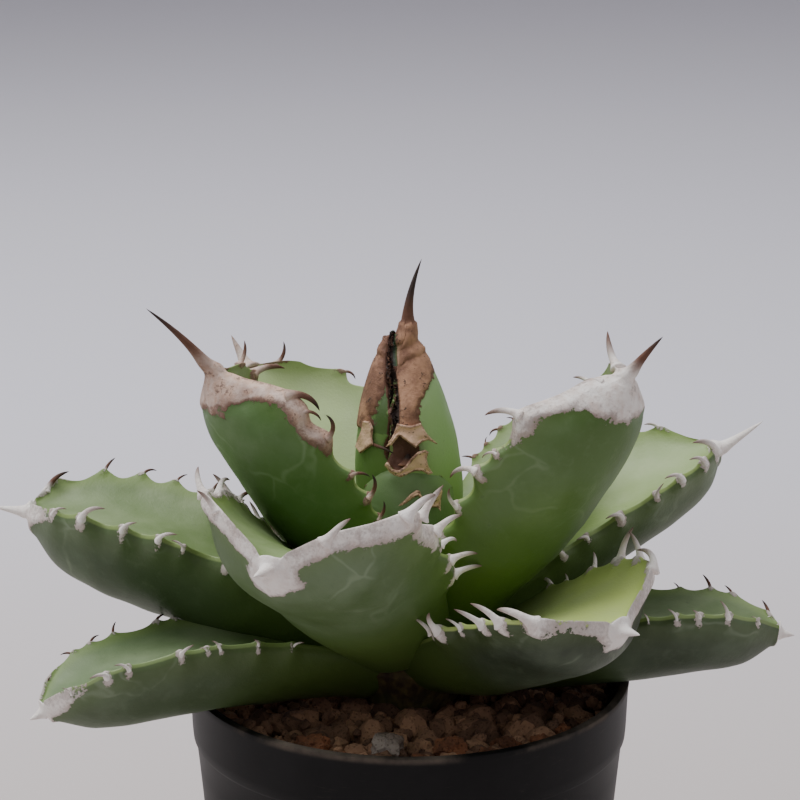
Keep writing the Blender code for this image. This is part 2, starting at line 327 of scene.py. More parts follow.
@dataclass
class Leaf:
    """One leaf: how it grows, its teeth and its horn."""

    name: str
    azimuth: float
    rank: int
    reach: float
    height: float
    leave: float
    arrive: float
    width: float
    thickness: float
    cup: tuple
    spine: float
    spine_turn: float = 0.0
    roll: tuple = (0.0, 0.0)
    blunt: float = 0.5
    teeth: int = 6
    tooth: float = 3.6
    first_tooth: float = 0.36
    base_radius: float = 8.0
    cap: float = 1.6
    bands: tuple = ((0.9, 0.5), (0.9, 0.5))
    cap_round: float = 0.6
    brown: float = 0.15
    spine_brown: float = 0.3
    spine_thick: float = 1.0
    under: tuple = (70, 90, 52)
    upper: tuple = (112, 134, 78)
    bump: float = 0.46
    dark_hand: int = 0
    seed: int = 1


LEAVES = [
    Leaf("leaf_01", 110, 0, 60, 13, 20, 6, 28, 7.0, (0.5, 0.4), 8, first_tooth=0.5),
    Leaf("leaf_02", 354, 0, 74.5, 12.5, 18, -6, 30, 10.0, (0.45, 0.5), 3.5, blunt=0.9, tooth=3.4,
         roll=(-4, -12), teeth=8, cap=0.8, bands=((0.97, 0.3), (0.95, 0.4)), under=(43, 59, 32),
         upper=(94, 114, 66), spine_brown=0.1, bump=0.4, dark_hand=1, seed=4),
    Leaf("leaf_03", 206, 0, 78, 6.5, 24, -20, 29, 10.0, (0.45, 0.5), 3.5, blunt=1.0, tooth=3.6,
         roll=(4, 14), teeth=8, cap=0.6, bands=((0.83, 0.9), (0.85, 0.9)), under=(62, 80, 46),
         upper=(98, 120, 78), spine_brown=0.1, bump=0.4, dark_hand=-1, seed=3),
    Leaf("leaf_04", 72, 1, 62, 18, 18, 10, 30, 8.0, (0.5, 0.4), 9),
    # leaf_05's upper colour is painted far lighter than its own green, as painted light on a shaded
    # face.
    Leaf("leaf_05", 313, 2, 57, 26, 24, 4, 36, 11.0, (0.45, 0.5), 5, blunt=1.0, tooth=6.4,
         roll=(0, 5), cap=2.0, bands=((0.86, 0.6), (0.76, 0.7)), under=(33, 45, 23),
         upper=(206, 226, 128), spine_brown=0.1, seed=5),
    Leaf("leaf_06", 176, 3, 77, 33.5, 36, 8, 34, 14.5, (0.45, 0.6), 8, blunt=0.6, tooth=5.6,
         teeth=7, cap=1.2, bands=((0.84, 0.5), (0.87, 1.0)), under=(57, 77, 43),
         upper=(100, 122, 68), spine_brown=0.05, bump=0.72, dark_hand=-1, seed=6),
    Leaf("leaf_07", 22, 3, 69, 40, 40, 22, 34, 9.0, (0.5, 0.7), 13, 4, blunt=0.7, tooth=6.2,
         teeth=7, cap=1.4, bands=((0.9, 0.6), (0.9, 0.6)), upper=(132, 156, 88),
         spine_brown=0.1, bump=0.5, seed=7),
    Leaf("leaf_08", 243, 4, 56, 41, 46, 2, 42, 11.5, (0.5, 0.8), 6, blunt=1.0, tooth=7.0,
         teeth=7, cap=3.2, cap_round=0.8, bands=((0.56, 0.9), (0.5, 1.0)), brown=0.2,
         spine_brown=0.15, under=(80, 104, 59), seed=8),
    Leaf("leaf_09", 134, 4, 48, 55, 55, 50, 38, 9.0, (0.6, 0.7), 9, blunt=0.8, tooth=5.0,
         cap=1.4, bands=((0.93, 0.5), (0.93, 0.5)), brown=0.6, under=(80, 104, 54),
         upper=(184, 204, 142), bump=0.8, dark_hand=-1, seed=9),
    Leaf("leaf_10", 332, 6, 45, 68, 58, 62, 38.5, 9.5, (0.7, 0.9), 12, -10, blunt=0.7,
         tooth=5.8, cap=5.0, cap_round=0.22, bands=((0.68, 1.5), (0.9, 0.8)), brown=0.35,
         spine_brown=0.9, under=(78, 108, 48), upper=(130, 152, 84), seed=10),
    Leaf("leaf_11", 203, 7, 39.5, 67, 66, 66, 37, 7.0, (0.8, 0.9), 20, -18, blunt=0.62,
         tooth=5.8, cap=4.6, cap_round=0.25, bands=((0.9, 0.9), (0.6, 1.2)), brown=0.72,
         spine_brown=1.0, under=(69, 108, 38), upper=(130, 152, 84), dark_hand=1, seed=11),
    Leaf("leaf_12", 42, 7, 46, 48, 46, 44, 23, 6.5, (0.7, 0.8), 8, tooth=3.0,
         roll=(-10, -14), teeth=5, first_tooth=0.6, brown=0.6, dark_hand=1, seed=12),
    Leaf("bud_leaf_front", 268, 9, 9.5, 47, 84, 94, 19, 2.0, (0.6, 0.6), 2.5, teeth=3, tooth=1.4,
         first_tooth=0.6, base_radius=9.0, cap=0.3, bands=((0.98, 0.2), (0.98, 0.2)), brown=1.0,
         spine_brown=1.2, under=(98, 126, 76), seed=13),
    Leaf("bud_leaf_left", 170, 10, 2.6, 69, 88, 106, 22, 3.0, (1.2, 0.85), 2, blunt=-0.3,
         teeth=4, tooth=1.4, base_radius=6.0, cap=2.4, bands=((0.8, 0.6), (0.8, 0.8)), brown=1.0,
         spine_brown=0.5, under=(96, 130, 66), seed=14),
    Leaf("bud_leaf_right", 2, 11, -1.2, 69, 84, 112, 29, 3.4, (1.5, 1.4), 17, -30, blunt=-0.5,
         teeth=4, tooth=2.2, base_radius=5.5, cap=2.4, bands=((0.9, 2.0), (0.6, 2.0)), brown=1.0,
         spine_brown=1.35, spine_thick=1.25, under=(148, 180, 118), seed=15),
]

SLENDER_OUTLINE = [(0.0, 0.66), (0.25, 0.82), (0.55, 1.0), (0.75, 0.88), (0.9, 0.52), (1.0, 0.09)]
BLUNT_OUTLINE = [(0.0, 0.62), (0.25, 0.78), (0.55, 0.97), (0.75, 1.0), (0.9, 0.8), (1.0, 0.14)]
THICKNESS_PROFILE = [(0.0, 0.7), (0.35, 1.0), (0.7, 0.95), (0.9, 0.7), (1.0, 0.2)]
print(len(LEAVES), "leaves in the table")


# %% A smooth curve through given values
def along(points, t):
    """Smooth value at t of a curve through points, which rise in t."""
    for (t0, v0), (t1, v1) in zip(points, points[1:]):
        if t <= t1 or (t1, v1) == points[-1]:
            break
    i = points.index((t0, v0))
    before = points[max(i - 1, 0)]
    after = points[min(i + 2, len(points) - 1)]
    slope0 = (v1 - before[1]) / (t1 - before[0])
    slope1 = (after[1] - v0) / (after[0] - t0)
    h = t1 - t0
    s = clamp((t - t0) / h)
    return (
        (2 * s**3 - 3 * s**2 + 1) * v0
        + (s**3 - 2 * s**2 + s) * h * slope0
        + (-2 * s**3 + 3 * s**2) * v1
        + (s**3 - s**2) * h * slope1
    )


print("half way along, a slender leaf has", round(along(SLENDER_OUTLINE, 0.5), 2), "of its width")


# %% Middle line and directions of a leaf
HANDLE_SHARE = 0.36
SLOPE_STEP = 0.01


def midrib(leaf, t):
    """Place in mm at t of the middle line, a curve with two handles in the leaf's upright plane."""
    start = Vector((leaf.base_radius, LOWEST_BASE + leaf.rank * BASE_STEP))
    end = Vector((leaf.reach, RIM_HEIGHT + leaf.height))
    handle = HANDLE_SHARE * (end - start).length
    leave, arrive = math.radians(leaf.leave), math.radians(leaf.arrive)
    first = start + handle * Vector((math.cos(leave), math.sin(leave)))
    second = end - handle * Vector((math.cos(arrive), math.sin(arrive)))
    s = 1.0 - t
    flat = s**3 * start + 3 * s**2 * t * first + 3 * s * t**2 * second + t**3 * end
    azimuth = math.radians(leaf.azimuth)
    return Vector((math.cos(azimuth) * flat.x, math.sin(azimuth) * flat.x, flat.y))


def turn_about(vector, axis, angle):
    """The vector turned about the axis, as Rodrigues wrote it."""
    cos, sin = math.cos(angle), math.sin(angle)
    return vector * cos + axis.cross(vector) * sin + axis * axis.dot(vector) * (1 - cos)


def directions(leaf, t):
    """(ahead, side, up) at t: up is the way the upper face looks, side runs anticlockwise."""
    ahead = (midrib(leaf, t + SLOPE_STEP) - midrib(leaf, t - SLOPE_STEP)).normalized()
    azimuth = math.radians(leaf.azimuth)
    side = Vector((-math.sin(azimuth), math.cos(azimuth), 0.0))
    side = (side - ahead * side.dot(ahead)).normalized()
    side = turn_about(side, ahead, math.radians(mix(*leaf.roll, t)))
    return ahead, side, ahead.cross(side)


def half_width(leaf, t):
    share = mix(along(SLENDER_OUTLINE, t), along(BLUNT_OUTLINE, t), leaf.blunt)
    return max(leaf.width / 2 * share, SPINE_RADIUS)


def leaf_length(leaf):
    return sum((midrib(leaf, i / 20) - midrib(leaf, (i + 1) / 20)).length for i in range(20))


print("blade lengths in mm", [round(leaf_length(leaf)) for leaf in LEAVES])


# %% [markdown]
# ## Rolling a leaf out of a grid
#
# A leaf could be sculpted freely, but its cross-section changes in a regular way, so it is better
# laid out like cloth on a roll. A flat grid is added; its columns run round the section and its
# rows run from the crown to the tip. Each point is moved to its place on the leaf, the two long
# edges meet and are merged, and a subdivision rounds the skin. The grid has more columns near the
# margins, where the fine shapes are. While the points are laid, a few numbers are written on
# each, such as its distance into the horn, and the colours follow them.

# %% Grid columns and tooth places
COLUMNS = 60
ROWS = 104
MARKS = ("horn", "above", "share", "tip_and_painted_shade", "rim")


def write_marks(mesh, marks):
    """Writes each mark's numbers on the points of a mesh, and 0 where none are given."""
    nothing = [0.0] * len(mesh.vertices)
    for name in MARKS:
        data = mesh.attributes.new(name, "FLOAT", "POINT").data
        data.foreach_set("value", marks.get(name, nothing))


def column_place(column):
    """(q, above) of a grid column: q from -1 to 1 across, and whether it lies on the upper face."""
    turn = column / COLUMNS * 2.0
    above = turn <= 1.0
    s = turn * 2 - 1 if above else 3 - turn * 2
    return math.sin(math.pi / 2 * s * 0.94) / math.sin(math.pi / 2 * 0.94), above


def tooth_places(leaf):
    """(t, hand, size, lean, hook) of each tooth; hand is 1 on the anticlockwise margin."""
    rng = random.Random(leaf.seed)
    teeth = []
    for hand in (1, -1):
        pitch = (0.95 - leaf.first_tooth) / (leaf.teeth - 1)
        for i in range(leaf.teeth):
            t = leaf.first_tooth + (i + rng.uniform(-0.38, 0.38)) * pitch
            size = leaf.tooth * rng.uniform(0.5, 1.25) * (0.45 + 0.65 * t)
            curl = rng.choice((-1.0, -1.0, -1.0, 1.0)) * rng.uniform(0.7, 2.1)
            teeth.append((t, hand, size, rng.uniform(0.15, 0.75), curl))
    return teeth


print(sum(len(tooth_places(leaf)) for leaf in LEAVES), "teeth on", len(LEAVES), "leaves")


# %% Swells of the margin and ripples of the skin
def margin_bump(leaf, t, hand, teeth, length):
    """How far the margin swells, in millimetres, where teeth stand."""
    swell = 0.0
    for place, side, size, _, _ in teeth:
        if side == hand:
            away = (t - place) * length / (0.4 * size + 0.9)
            swell += leaf.bump * size * math.exp(-(away**2))
    return swell * min(1.0, (1 - t) / 0.04)


def ripple(point, scale, seed):
    """Smooth noise from about -1 to 1, different for each seed."""
    return noise.noise(point * scale + Vector((seed * 7.3, seed * 1.7, seed * 3.1)))


knobbly = max(LEAVES, key=lambda leaf: leaf.bump)
print("the most knobbly margin is that of", knobbly.name)


# %% Depth into the horn
def horn_depth(leaf, t, hand, above, inset, length, wander, q):
    """Distance into the horn in millimetres, below 0 outside it."""
    from_tip = (1 - t) * length
    reach, wide = leaf.bands[0] if hand < 0 else leaf.bands[1]
    taper = clamp((t - reach) / 0.12)
    band = wide * taper * (0.55 if above else 1.0) * (1 + 0.25 * wander) - 0.9 * (1 - taper)
    from_point = math.hypot(from_tip, abs(q) * leaf.cap_round * half_width(leaf, t))
    cap = leaf.cap * (0.5 if above else 1.0) * (1 + 0.18 * wander)
    return max(band - inset, cap - from_point)


print("the horn reaches furthest on", max(LEAVES, key=lambda leaf: leaf.cap).name)


# %% A point of the blade
BUMP_REACH = 3.0
CRUST = 0.65


def blade_point(leaf, t, column, teeth, length):
    """Place in millimetres of one grid point on the blade, and its marks."""
    ahead, side, up = directions(leaf, t)
    middle = midrib(leaf, t)
    wide = half_width(leaf, t)
    q, above = column_place(column)
    wrap = mix(*leaf.cup, t)
    radius = wide / wrap
    thick = leaf.thickness * along(THICKNESS_PROFILE, t)
    deep = radius
    if not above:
        deep += MARGIN_THICKNESS + thick * (1 - abs(q) ** 2.2)
    turn = q * wrap
    point = middle + side * deep * math.sin(turn) + up * (radius - deep * math.cos(turn))
    hand = 1 if q > 0 else -1
    edge = max(0.0, 1 - (1 - abs(q)) * wide / BUMP_REACH)
    away = side * hand * math.cos(wrap) + up * math.sin(wrap)
    swell = margin_bump(leaf, t, hand, teeth, length) * edge**1.5
    inset = (1 - abs(q)) * wide
    wander = ripple(point, 0.18, leaf.seed) * 1.6 + ripple(point, 0.6, leaf.seed + 5) * 1.3
    horn = horn_depth(leaf, t, hand, above, inset, length, wander, q)
    for place, tooth_hand, size, _, _ in teeth:
        if tooth_hand == hand:
            gap = math.hypot((t - place) * length, inset * 1.3)
            horn = max(horn, 0.2 * size + 0.2 * wander - gap)
    body = ripple(point, 0.055, leaf.seed) * 0.7 + ripple(point, 0.16, leaf.seed + 2) * 0.25
    crust = CRUST * clamp(horn / 0.8 + 0.3) ** 0.6
    normal = up if above else (side * math.sin(turn) - up * math.cos(turn))
    point = point + away * swell + normal * (crust + body * (1 - edge) * min(1.0, (1 - t) / 0.1))
    rim = max(0.0, 1 - inset / 4.0)
    return point, {"horn": horn, "above": float(above), "share": t, "tip_and_painted_shade": 0.0, "rim": rim}


print("a blade has", COLUMNS, "columns and", ROWS, "rows of points")


# %% The end spine
SPINE_ROWS = 16


def spine_point(leaf, share, column):
    """Place of a grid point on the end spine at that share of its length."""
    ahead, side, up = directions(leaf, 1.0)
    aim = turn_about(ahead, side, -math.radians(leaf.spine_turn) * share**0.5)
    start = midrib(leaf, 1.0) - up * SPINE_RADIUS * min(1.0, share * 6)
    middle = start + aim * leaf.spine * share
    thin = max(1.0 - share, 0.0) ** 0.75 * (1 + 1.1 * (1 - share) ** 6)
    angle = 2 * math.pi * column / COLUMNS - math.pi / 2
    radius = SPINE_RADIUS * leaf.spine_thick * thin
    return middle + side * radius * math.sin(angle) * 1.1 + up * radius * math.cos(angle) * 0.9


print("longest end spine", max(leaf.spine for leaf in LEAVES), "mm")


# %% Roll the skin
ROW_SPACING = 0.85


def close_ends(obj):
    """Merges the long seam and closes the base with one face."""
    with editing(obj):
        bpy.ops.mesh.remove_doubles(threshold=2e-6)
        bpy.ops.mesh.select_all(action="DESELECT")
        bpy.ops.mesh.select_non_manifold()
        bpy.ops.mesh.edge_face_add()
        face_outwards()


def roll_leaf(leaf):
    """The leaf's closed skin, with its marks, rolled out of one grid."""
    length = leaf_length(leaf)
    teeth = tooth_places(leaf)
    rows = ROWS + SPINE_ROWS
    deselect()
    bpy.ops.mesh.primitive_grid_add(x_subdivisions=COLUMNS, y_subdivisions=rows, size=2)
    obj = bpy.context.object
    obj.name = leaf.name
    mesh = obj.data
    marks = {name: np.zeros(len(mesh.vertices)) for name in MARKS}
    for vert in mesh.vertices:
        column = round((vert.co.x + 1) / 2 * COLUMNS) % COLUMNS
        row = round((vert.co.y + 1) / 2 * rows)
        if row <= ROWS:
            t = (row / ROWS) ** ROW_SPACING
            place, values = blade_point(leaf, t, column, teeth, length)
        else:
            share = (row - ROWS) / SPINE_ROWS
            place = spine_point(leaf, share, column)
            values = {"horn": 3.0, "above": 0.0, "share": 1.0, "rim": 1.0}
            values["tip_and_painted_shade"] = min(share * leaf.spine_brown, 1.0)
        vert.co = place * MM
        for name, value in values.items():
            marks[name][vert.index] = value
    write_marks(mesh, marks)
    close_ends(obj)
    return obj, teeth, length


print("a leaf's skin starts as", COLUMNS * (ROWS + SPINE_ROWS), "faces")

# %% [markdown]
# ## Hooked teeth
#
# Each tooth is a small horn claw. One is drawn out of an eight-sided disc: the disc is extruded a
# few times, and each new ring is moved, turned and shrunk, so that the claw bends as it thins.
# Claws differ from leaf to leaf, so each is drawn where it grows, with its own size, lean and hook.

# %% A bent horn
HORN_SIDES = 8


def draw_horn(path, radii, across, flat, tip_and_shade_marks):
    """A bent horn whose rings follow the path, each with its radius; flat widens it crossways."""
    deselect()
    bpy.ops.mesh.primitive_circle_add(vertices=HORN_SIDES, radius=1.0, fill_type="NGON")
    obj = bpy.context.object
    write_marks(obj.data, {})
    bpy.ops.object.mode_set(mode="EDIT")
    for i, (middle, radius) in enumerate(zip(path, radii)):
        if i:
            bpy.ops.mesh.extrude_region()
        bm = bmesh.from_edit_mesh(obj.data)
        cap = [face for face in bm.faces if face.select][0]
        heading = (path[min(i + 1, len(path) - 1)] - path[max(i - 1, 0)]).normalized()
        one = heading.cross(across).normalized()
        two = heading.cross(one)
        values = {"tip_and_painted_shade": tip_and_shade_marks[i], "horn": 2.0, "rim": 1.0, "share": 0.9}
        layers = {name: bm.verts.layers.float[name] for name in values}
        for k, vert in enumerate(cap.verts):
            angle = 2 * math.pi * k / HORN_SIDES
            wide = radius * flat[i]
            vert.co = (middle + one * radius * math.cos(angle) + two * wide * math.sin(angle)) * MM
            for name, value in values.items():
                vert[layers[name]] = value
    bmesh.update_edit_mesh(obj.data)
    face_outwards()
    bpy.ops.object.mode_set(mode="OBJECT")
    return obj


print("a horn is drawn with", HORN_SIDES, "sides")


# %% Claws of a leaf
CLAW_STEPS = (
    # share of the length, radius as a share of the size
    (0.0, 0.21), (0.09, 0.15), (0.2, 0.112), (0.34, 0.095), (0.48, 0.088), (0.62, 0.078),
    (0.76, 0.06), (0.89, 0.036), (1.0, 0.004),
)
CLAW_ROOT = 0.6
FIRST_BUD_RANK = 9


def draw_claw(foot, start, ahead, size, curl, dark):
    """A claw that leaves its foot along start and curls in the plane of start and ahead."""
    axis = start.cross(ahead).normalized()
    path = [foot - start * CLAW_ROOT]
    for (before, _), (share, _) in zip(CLAW_STEPS, CLAW_STEPS[1:]):
        heading = turn_about(start, axis, curl * (before + share) / 2)
        path.append(path[-1] + heading * (share - before) * (size + CLAW_ROOT))
    radii = [max(thin * size, 0.02) for _, thin in CLAW_STEPS]
    flat = [1.5, 1.3, 1.1] + [1.0] * 6
    return draw_horn(path, radii, axis, flat, [dark * share for share, _ in CLAW_STEPS])


def claws_of(leaf, teeth, length):
    """All the claws of a leaf, each standing on its swell of the margin."""
    claws = []
    for t, hand, size, lean, curl in teeth:
        t = min(t, 0.985)
        ahead, side, up = directions(leaf, t)
        wrap = mix(*leaf.cup, t)
        radius = half_width(leaf, t) / wrap
        turn = hand * wrap
        middle = radius + MARGIN_THICKNESS / 2
        margin = midrib(leaf, t) + side * middle * math.sin(turn)
        margin += up * (radius - middle * math.cos(turn))
        away = side * hand * math.cos(wrap) + up * math.sin(wrap)
        swell = margin_bump(leaf, t, hand, teeth, length)
        start = away.lerp(up, lean).normalized()
        dark = 1.0 if hand == leaf.dark_hand else 0.35 + 0.3 * leaf.brown
        foot = margin + away * (swell - 0.2)
        if leaf.rank >= FIRST_BUD_RANK and foot.y < -1:
            continue  # the loose flaps stand here instead
        claws.append(draw_claw(foot, start, ahead, size * 1.1, curl, dark))
    return claws


print("a claw bends in", len(CLAW_STEPS) - 1, "steps")


# %% Build every leaf
leaves = {}
for leaf in LEAVES:
    skin, teeth, length = roll_leaf(leaf)
    piece = join_all([skin] + claws_of(leaf, teeth, length), leaf.name + "_grown")
    apply_modifier(piece, "SUBSURF", levels=1, render_levels=1)
    take(piece)
    bpy.ops.object.shade_smooth()
    leaves[leaf.name] = piece
    print(leaf.name, round(length, 1), "mm long with", len(teeth), "teeth")

# %% [markdown]
# ## The horn of the bud
#
# The youngest leaves are still folded together. Where their margins meet, the horn has dried into
# loose tan flaps round a hollow, which is pressed in and painted dark as shade: a forked flap under
# the broad band, a curled one below it and a wavy tooth at the foot. A flap is a disc with as many
# corners as its torn outline has. Its corners are put on the outline, the face is cut into small
# ones, and each point is laid on the bud's skin by a ray from the front. A solidify gives the flap
# its thickness.

# %% Outlines of the flaps
BUD = ("bud_leaf_right", "bud_leaf_left", "bud_leaf_front")
FORKED_FLAP = [
    (-4.6, 129.1), (-3.3, 131.7), (-2.5, 134.0), (0.0, 133.6), (2.1, 134.0), (3.3, 132.0),
    (5.3, 129.4), (3.6, 130.4), (2.5, 130.1), (1.1, 129.2), (0.0, 130.0), (-0.9, 130.7),
    (-2.0, 131.5), (-2.7, 130.7), (-3.5, 129.6),
]
CURLED_FLAP = [
    (-4.6, 126.3), (-4.0, 126.4), (-3.4, 125.3), (-2.2, 125.0), (-1.0, 125.8), (0.0, 127.3),
    (1.4, 128.7), (2.9, 128.9), (3.8, 128.3), (3.4, 127.0), (3.8, 125.3), (4.6, 123.9),
    (3.6, 123.6), (2.4, 124.5), (1.1, 124.5), (-0.4, 124.0), (-1.8, 123.4), (-3.3, 123.7),
    (-4.4, 124.9),
]
WAVY_TOOTH = [
    (-2.3, 117.9), (-1.1, 119.0), (0.0, 120.3), (1.3, 121.1), (2.0, 121.0), (2.4, 119.8),
    (3.3, 119.1), (4.4, 119.3), (5.3, 120.0), (6.0, 121.2), (6.5, 120.3), (6.2, 118.5),
    (6.1, 116.3), (5.4, 117.1), (4.0, 117.3), (2.7, 118.2), (1.6, 119.9), (0.5, 119.3),
    (-0.6, 118.3),
]
SIDE_FLAP = [
    (-8.9, 133.0), (-7.7, 133.2), (-7.0, 132.0), (-7.2, 130.5), (-7.0, 129.0), (-8.2, 127.8),
    (-9.5, 126.3), (-10.4, 127.2), (-9.9, 129.0), (-9.3, 130.9),
]
FLAPS = [
    # outline, how far it stands off the skin, and how much further its rim does, in mm
    (FORKED_FLAP, 0.5, 0.9), (CURLED_FLAP, 0.7, 1.1), (WAVY_TOOTH, 0.6, 0.9), (SIDE_FLAP, 0.3, 0.5),
]
DARK_TOOTH = [(-7.2, 128.9, 0.34), (-5.2, 128.5, 0.3), (-3.2, 128.1, 0.08)]
print([len(flap[0]) for flap in FLAPS], "corners on the flaps")

# %% Feel for the bud's skin
shell = bmesh.new()
for name in BUD:
    shell.from_mesh(leaves[name].data)
skin = BVHTree.FromBMesh(shell)
shell.free()


def skin_depth(across, height):
    """How far back the bud's skin lies at that place, seen from the front, in millimetres."""
    origin = Vector((across, -120.0, height)) * MM
    hit = skin.ray_cast(origin, Vector((0, 1, 0)))[0]
    return hit.y / MM if hit else 0.0


def edge_distance(outline, across, height):
    """Distance from a place to the nearest side of a closed outline."""
    place = Vector((across, height))
    nearest = 99.0
    for a, b in zip(outline, outline[1:] + outline[:1]):
        a, b = Vector(a), Vector(b)
        share = clamp((place - a).dot(b - a) / (b - a).length_squared)
        nearest = min(nearest, (place - a - (b - a) * share).length)
    return nearest


print("the bud's skin lies at y", round(skin_depth(0.0, 140.0), 1), "mm, 140 mm up")


# %% Draw the flaps
FLAP_THICKNESS = 0.6


def draw_flap(outline, lift, curl):
    """A dried flap with a torn outline, which stands off the skin most at its rim."""
    deselect()
    bpy.ops.mesh.primitive_circle_add(vertices=len(outline), radius=1.0, fill_type="NGON")
    obj = bpy.context.object
    for vert, (across, height) in zip(obj.data.vertices, outline):
        vert.co = Vector((across, 0.0, height)) * MM
    with editing(obj):
        bpy.ops.mesh.quads_convert_to_tris(ngon_method="BEAUTY")
        bpy.ops.mesh.subdivide(number_cuts=3)
        bpy.ops.mesh.subdivide(number_cuts=1)
    horn = []
    middle = sum(place[0] for place in outline) / len(outline)
    for vert in obj.data.vertices:
        across, height = vert.co.x / MM, vert.co.z / MM
        inside = edge_distance(outline, across, height)
        depth = sum(skin_depth(middle + (across - middle) * k, height) for k in (0.8, 1.0)) / 2
        wave = ripple(vert.co / MM, 0.5, 3) * 0.6
        vert.co.y = (depth - lift - curl * max(0.0, 1 - inside) ** 2 * 0.6 - wave) * MM
        horn.append(0.6 + 1.6 * inside)
    full = [1.0] * len(horn)
    # above is 1 on the flaps, so that they take the paler flap tan, which is partly painted light.
    write_marks(obj.data, {"horn": horn, "share": [0.9] * len(horn), "rim": full, "above": full})
    apply_modifier(obj, "SOLIDIFY", thickness=FLAP_THICKNESS * MM, offset=-1.0)
    apply_modifier(obj, "SUBSURF", levels=1, render_levels=1)
    tidy_shell(obj)
    return obj


flaps = [draw_flap(*flap) for flap in FLAPS]
path = [Vector((x, skin_depth(x, z) - 0.6, z)) for x, z, _ in DARK_TOOTH]
flaps.append(draw_horn(path, [row[2] for row in DARK_TOOTH], Vector((0, -1, 0)), [1.0] * 3,
                       [0.5, 0.7, 1.0]))
print(len(flaps), "flaps on the bud,", sum(len(flap.data.polygons) for flap in flaps), "faces")

# %% [markdown]
# Between the two big leaves of the bud lies a gap, with a broad band of horn to its right and
# a narrow one on the left margin. Their edges wander down the bud, so each is a curve over the
# height, and the marks of the skin are set from them. The gap and the hollow are pressed in, and
# the bands are raised a little. The gap, the strip left of it and the hollow are also painted
# dark as shade, and a strip high in the gap is painted dark over its highlights.

# %% Gap, hollow and bands of the bud
HOLLOW = (-1.5, 128.2, 3.0, 3.2)  # middle across, middle height, half width, half height
HORN_FOOT, HORN_HEAD = 131.0, 151.5
BUD_EDGES = [
    # height, then across in mm: left band's inner edge, gap's two edges, broad band's outer edge
    (131.0, -7.4, -3.9, -2.7, 1.7), (134.0, -6.9, -3.6, -2.3, 1.9), (136.6, -6.0, -3.7, -2.2, 1.9),
    (138.8, -5.2, -3.9, -2.4, 3.4), (141.2, -4.8, -4.3, -2.7, 4.8), (144.5, -4.6, -4.4, -3.3, 4.8),
    (148.0, -4.0, -3.9, -3.2, 3.4), (151.5, -3.2, -3.2, -2.7, 3.0),
]
left_inner, gap_left, gap_right, band_outer = (
    [(row[0], row[k]) for row in BUD_EDGES] for k in (1, 2, 3, 4)
)

for name in BUD[:2]:
    mesh = leaves[name].data
    tip_and_shade_marks, horns = (mesh.attributes[mark].data for mark in ("tip_and_painted_shade", "horn"))
    for vert in mesh.vertices:
        place = vert.co / MM
        x, z = place.x, place.z
        if vert.normal.y > 0.15 or not 120 < z < HORN_HEAD:
            continue
        i = vert.index
        far = math.hypot((x - HOLLOW[0]) / HOLLOW[2], (z - HOLLOW[1]) / HOLLOW[3])
        inside_hollow = clamp(1.25 - far) if place.y < 0 else 0.0
        if z > HORN_FOOT:
            wave = ripple(place, 0.8, 2) * 0.8
            in_gap = min(x - along(gap_left, z), along(gap_right, z) - x)
            in_band = min(x - along(gap_right, z) + 1.5, along(band_outer, z) - x + wave)
            in_left = along(left_inner, z) - x + wave * 0.6
            horns[i].value = max(in_band, in_left, 3 * in_gap + 2)
            raised = clamp(max(in_band, in_left)) * 0.4 - clamp(in_gap + 0.5) * 1.3
            vert.co += vert.normal * raised * MM
            # Painted shade: the gap between the bud leaves is painted dark through this mark.
            tip_and_shade_marks[i].value = clamp(in_gap + 0.8)
            # Painted shade: the strip left of the gap is painted half dark.
            if along(left_inner, z) < x < along(gap_right, z):
                tip_and_shade_marks[i].value = max(tip_and_shade_marks[i].value, 0.5)
            # Painted shade high in the gap, over its highlights.
            if z > 143.5 and -3.3 < x < -2.4:
                tip_and_shade_marks[i].value, horns[i].value = 1.0, -2.0
        else:
            horns[i].value = -2.0
        if inside_hollow:
            vert.co.y += 1.6 * MM * clamp(inside_hollow * 1.6)
            # Painted shade: the hollow is painted dark brown as well as pressed in.
            tip_and_shade_marks[i].value = max(tip_and_shade_marks[i].value, min(0.62, inside_hollow * 4.0))
            horns[i].value = max(horns[i].value, 4.0 * inside_hollow)
bud = join_all([leaves["bud_leaf_right"]] + flaps, "bud_leaf_right_grown")
take(bud)
bpy.ops.object.shade_smooth()
print("bud's box is", [round(side / MM, 1) for side in bud.dimensions], "mm")


# %% [markdown]
# ## Leaf skin and horn
#
# The flesh is a thick green under a waxy bloom, which is greyer where nothing has rubbed it and
# keeps pale prints of the leaves that once pressed on it. The hollow upper side is yellower, and
# is painted lighter than the underside, partly as painted light. Horn is dead, bark-like tissue:
# bone white with pinkish grey stains, brown where it meets the flesh, and darker to black at the
# points. The marks on the skin say where each begins, and where the bud's gap and hollow get
# painted shade.

# %% Colours of flesh and horn
UPPER_RIM = srgb(136, 164, 66)
BASE_GREEN = (92, 122, 36)
SPECK = srgb(54, 68, 40)
# A painted shade green, for the bud's gap.
PAINTED_SHADE_GREEN = srgb(26, 46, 20)
BONE = srgb(250, 245, 240)
BONE_STAIN = srgb(212, 190, 182)
# Paler tan of the flaps: partly their own colour, partly painted light on the shaded lower flap.
FLAP_TAN_AND_PAINTED_LIGHT = srgb(240, 200, 170)
BONE_TAN = srgb(188, 142, 112)
HORN_BROWN = srgb(106, 70, 54)
HORN_DARK = srgb(44, 34, 32)
print("new horn keeps", [round(part, 2) for part in BONE], "of the light")


